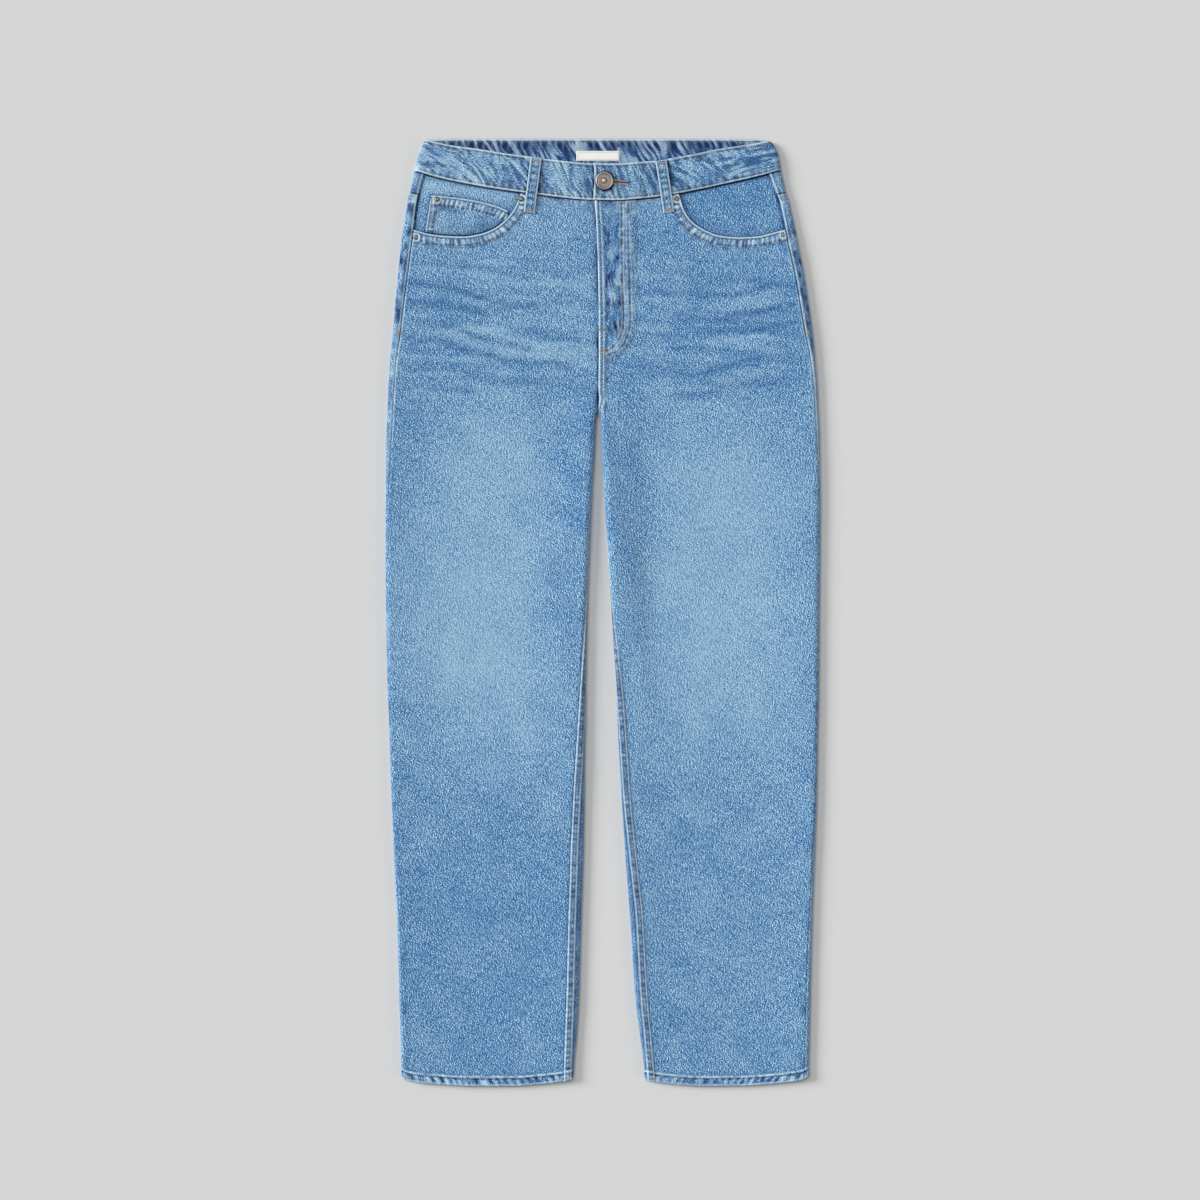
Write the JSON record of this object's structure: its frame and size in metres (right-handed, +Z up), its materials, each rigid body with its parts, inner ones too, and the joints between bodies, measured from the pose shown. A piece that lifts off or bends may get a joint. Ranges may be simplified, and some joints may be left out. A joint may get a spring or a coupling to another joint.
{
  "type": "loose fit jeans",
  "caption": "Loose straight-leg denim jeans laid flat on their back, with curved front pockets, a coin pocket, belt loops, a buttoned waistband and stitched hems.",
  "frame": {"origin": "centre of the bounding box in X and Y, on the surface that the jeans lie on", "axes": "+Y from the hems to the waist, +Z up out of the front, +X towards the wearer's left leg"},
  "size_m": [0.4649, 1.0146, 0.0147],
  "materials": {
    "washed_denim": "light blue washed twill, faded over the thighs",
    "deep_denim": "mid blue washed twill",
    "waist_denim": "mid blue washed twill, worn pale at the seams",
    "label_tape": "cream woven tape, plain",
    "button_nickel": "aged nickel, satin",
    "rivet_metal": "aged pale copper, satin"
  },
  "bodies": {
    "root": {"front_right": "washed_denim", "front_left": "washed_denim", "coin_pocket": "washed_denim", "back_right": "deep_denim", "back_left": "deep_denim", "yoke_right": "deep_denim", "yoke_left": "deep_denim", "back_pocket_right": "deep_denim", "back_pocket_left": "deep_denim", "waistband": "waist_denim", "pocket_facing_right": "waist_denim", "pocket_facing_left": "waist_denim", "belt_loop_front_right": "waist_denim", "belt_loop_front_left": "waist_denim", "belt_loop_back_right": "waist_denim", "belt_loop_back_centre": "waist_denim", "belt_loop_back_left": "waist_denim", "label": "label_tape", "button": "button_nickel", "rivet_coin_pocket": "rivet_metal", "rivet_right_side": "rivet_metal", "rivet_right_inner": "rivet_metal", "rivet_left_inner": "rivet_metal", "rivet_left_side": "rivet_metal"}
  },
  "joints": []
}
